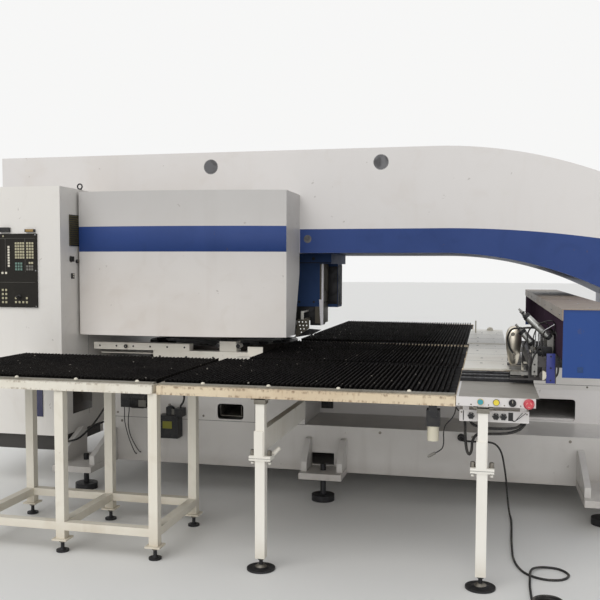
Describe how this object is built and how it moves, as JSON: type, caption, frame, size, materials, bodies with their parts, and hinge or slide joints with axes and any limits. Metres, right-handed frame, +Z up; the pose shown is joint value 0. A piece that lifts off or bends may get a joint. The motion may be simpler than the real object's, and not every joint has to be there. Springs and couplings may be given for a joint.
{
  "type": "turret punch press",
  "caption": "CNC turret punch press with an arched closed bridge frame, bowed turret cover, control cabinet, brush tables and a cross beam with sheet clamps.",
  "frame": {"origin": "on the floor under the middle of the machine's overall box", "axes": "+X to the operator's right along the bridge frame, +Y away from the operator, +Z up"},
  "size_m": [5.35, 5.5618, 2.3807],
  "materials": {
    "white_paint": "gloss",
    "cream_paint": "worn semi-gloss",
    "blue_paint": "gloss",
    "navy_paint": "semi-gloss",
    "steel": "machined",
    "dark_plastic": "matte",
    "dark_metal": "satin",
    "brush_black": "bristle",
    "cable_black": "matte",
    "teal_plastic": "gloss",
    "yellow_plastic": "gloss",
    "red_plastic": "gloss",
    "panel_plastic": "matte"
  },
  "bodies": {
    "machine": {"base_box": "white_paint", "base_casings": "white_paint", "foot_brackets": "white_paint", "levelling_feet": "dark_metal", "slug_chute": "steel", "bridge_frame": "white_paint", "frame_plugs": "dark_plastic", "lifting_eyes": "steel", "turret_cover": "white_paint", "tool_change_bars": "white_paint", "ram_housing": "navy_paint", "ram_side_plate": "white_paint", "machine_drives": "dark_metal", "control_cabinet": "white_paint", "cabinet_fittings": "dark_plastic", "cnc_panel": "panel_plastic", "table_frames": "cream_paint", "side_table_frame": "cream_paint", "brush_panels": "brush_black", "leg_supports": "white_paint", "button_bar": "white_paint", "air_filter": "dark_plastic", "apron_rails": "dark_metal", "apron_plates": "white_paint", "base_wall_units": "dark_plastic", "held_cables": "cable_black", "x_rails": "steel", "floor_cable": "cable_black", "floor_coil": "cable_black", "foot_switch": "dark_plastic", "hanging_lead": "cable_black", "lead_connector": "dark_plastic"},
    "cabinet_door": {"cabinet_door": "white_paint"},
    "door_handle": {"door_handle": "dark_plastic"},
    "isolator": {"isolator_knob": "dark_plastic"},
    "joystick": {"joystick": "dark_plastic"},
    "upper_turret": {"upper_turret": "steel", "upper_spindle": "steel", "punches": "steel"},
    "struck_punch": {"struck_punch": "steel"},
    "lower_turret": {"lower_turret": "steel", "lower_spindle": "steel", "dies": "dark_metal"},
    "ram": {"ram": "steel"},
    "index_pins": {"index_pins": "steel"},
    "start_button": {"start_button": "teal_plastic"},
    "hold_button": {"hold_button": "yellow_plastic"},
    "selector": {"selector_knob": "dark_plastic"},
    "stop_button": {"stop_button": "red_plastic"},
    "x_screw": {"x_screw": "steel"},
    "beam": {"saddle": "white_paint", "crossbeam": "white_paint", "beam_cover": "blue_paint", "beam_top_plate": "white_paint", "y_motor": "dark_metal"},
    "y_screw": {"y_screw": "steel"},
    "carriage": {"carriage": "steel", "air_cylinders": "steel"},
    "clamp_jaws": {"clamp_jaws": "steel"},
    "foot_pedal": {"foot_pedal": "yellow_plastic"}
  },
  "joints": [
    {"name": "lower_turret_spin", "type": "hinge", "parent": "machine", "child": "lower_turret", "pos_m": [-1.05, 0, 0.87], "axis": [0, 0, 1], "continuous": true},
    {"name": "upper_turret_spin", "type": "hinge", "parent": "machine", "child": "upper_turret", "pos_m": [-1.05, 0, 1.05], "axis": [0, 0, 1], "continuous": true},
    {"name": "ram_stroke", "type": "slide", "parent": "machine", "child": "ram", "axis": [0, 0, -1], "range_m": [0, 0.037]},
    {"name": "punch_stroke", "type": "slide", "parent": "upper_turret", "child": "struck_punch", "axis": [0, 0, -1], "range_m": [0, 0.037]},
    {"name": "index_pin_slide", "type": "slide", "parent": "machine", "child": "index_pins", "axis": [1, 0, 0], "range_m": [0, 0.03]},
    {"name": "beam_travel", "type": "slide", "parent": "machine", "child": "beam", "axis": [-1, 0, 0], "range_m": [0, 1.25]},
    {"name": "x_screw_spin", "type": "hinge", "parent": "machine", "child": "x_screw", "pos_m": [0.9, 0.04, 0.795], "axis": [1, 0, 0], "continuous": true},
    {"name": "carriage_travel", "type": "slide", "parent": "beam", "child": "carriage", "axis": [0, 1, 0], "range_m": [-0.24, 2.26]},
    {"name": "y_screw_spin", "type": "hinge", "parent": "beam", "child": "y_screw", "pos_m": [1.462, -0.6, 1.181], "axis": [0, 1, 0], "continuous": true},
    {"name": "clamp_jaw_hinge", "type": "hinge", "parent": "carriage", "child": "clamp_jaws", "pos_m": [1.306, -1.78, 1.002], "axis": [0, 1, 0], "range_deg": [-6, 5]},
    {"name": "cabinet_door_hinge", "type": "hinge", "parent": "machine", "child": "cabinet_door", "pos_m": [-2.612, -0.668, 1.2], "axis": [0, 0, -1], "range_deg": [0, 90]},
    {"name": "door_handle_turn", "type": "hinge", "parent": "cabinet_door", "child": "door_handle", "pos_m": [-2.612, -1.32, 1.25], "axis": [1, 0, 0], "range_deg": [0, 90]},
    {"name": "isolator_turn", "type": "hinge", "parent": "machine", "child": "isolator", "pos_m": [-1.765, -1.254, 1.583], "axis": [1, 0, 0], "range_deg": [0, 90]},
    {"name": "joystick_tilt", "type": "hinge", "parent": "machine", "child": "joystick", "pos_m": [-2.072, -1.412, 1.322], "axis": [1, 0, 0], "range_deg": [-15, 15], "stiffness_Nm_per_rad": 0.5},
    {"name": "start_button_push", "type": "slide", "parent": "machine", "child": "start_button", "axis": [0, 1, 0], "range_m": [0, 0.004], "stiffness_N_per_m": 600},
    {"name": "hold_button_push", "type": "slide", "parent": "machine", "child": "hold_button", "axis": [0, 1, 0], "range_m": [0, 0.004], "stiffness_N_per_m": 600},
    {"name": "selector_turn", "type": "hinge", "parent": "machine", "child": "selector", "pos_m": [1.198, -2.6, 0.902], "axis": [0, 1, 0], "range_deg": [-45, 45]},
    {"name": "stop_button_push", "type": "slide", "parent": "machine", "child": "stop_button", "axis": [0, 1, 0], "range_m": [0, 0.006]},
    {"name": "foot_pedal_press", "type": "hinge", "parent": "machine", "child": "foot_pedal", "pos_m": [1.47, -2.83, 0.034], "axis": [0, 1, 0], "range_deg": [0, 8], "stiffness_Nm_per_rad": 12, "springref_deg": -5.73}
  ],
  "couplings": [
    {"joint": "upper_turret_spin", "follows": "lower_turret_spin", "ratio": 1},
    {"joint": "punch_stroke", "follows": "ram_stroke", "ratio": 1},
    {"joint": "x_screw_spin", "follows": "beam_travel", "rad_per_m": 157.08},
    {"joint": "y_screw_spin", "follows": "carriage_travel", "rad_per_m": 157.08}
  ]
}
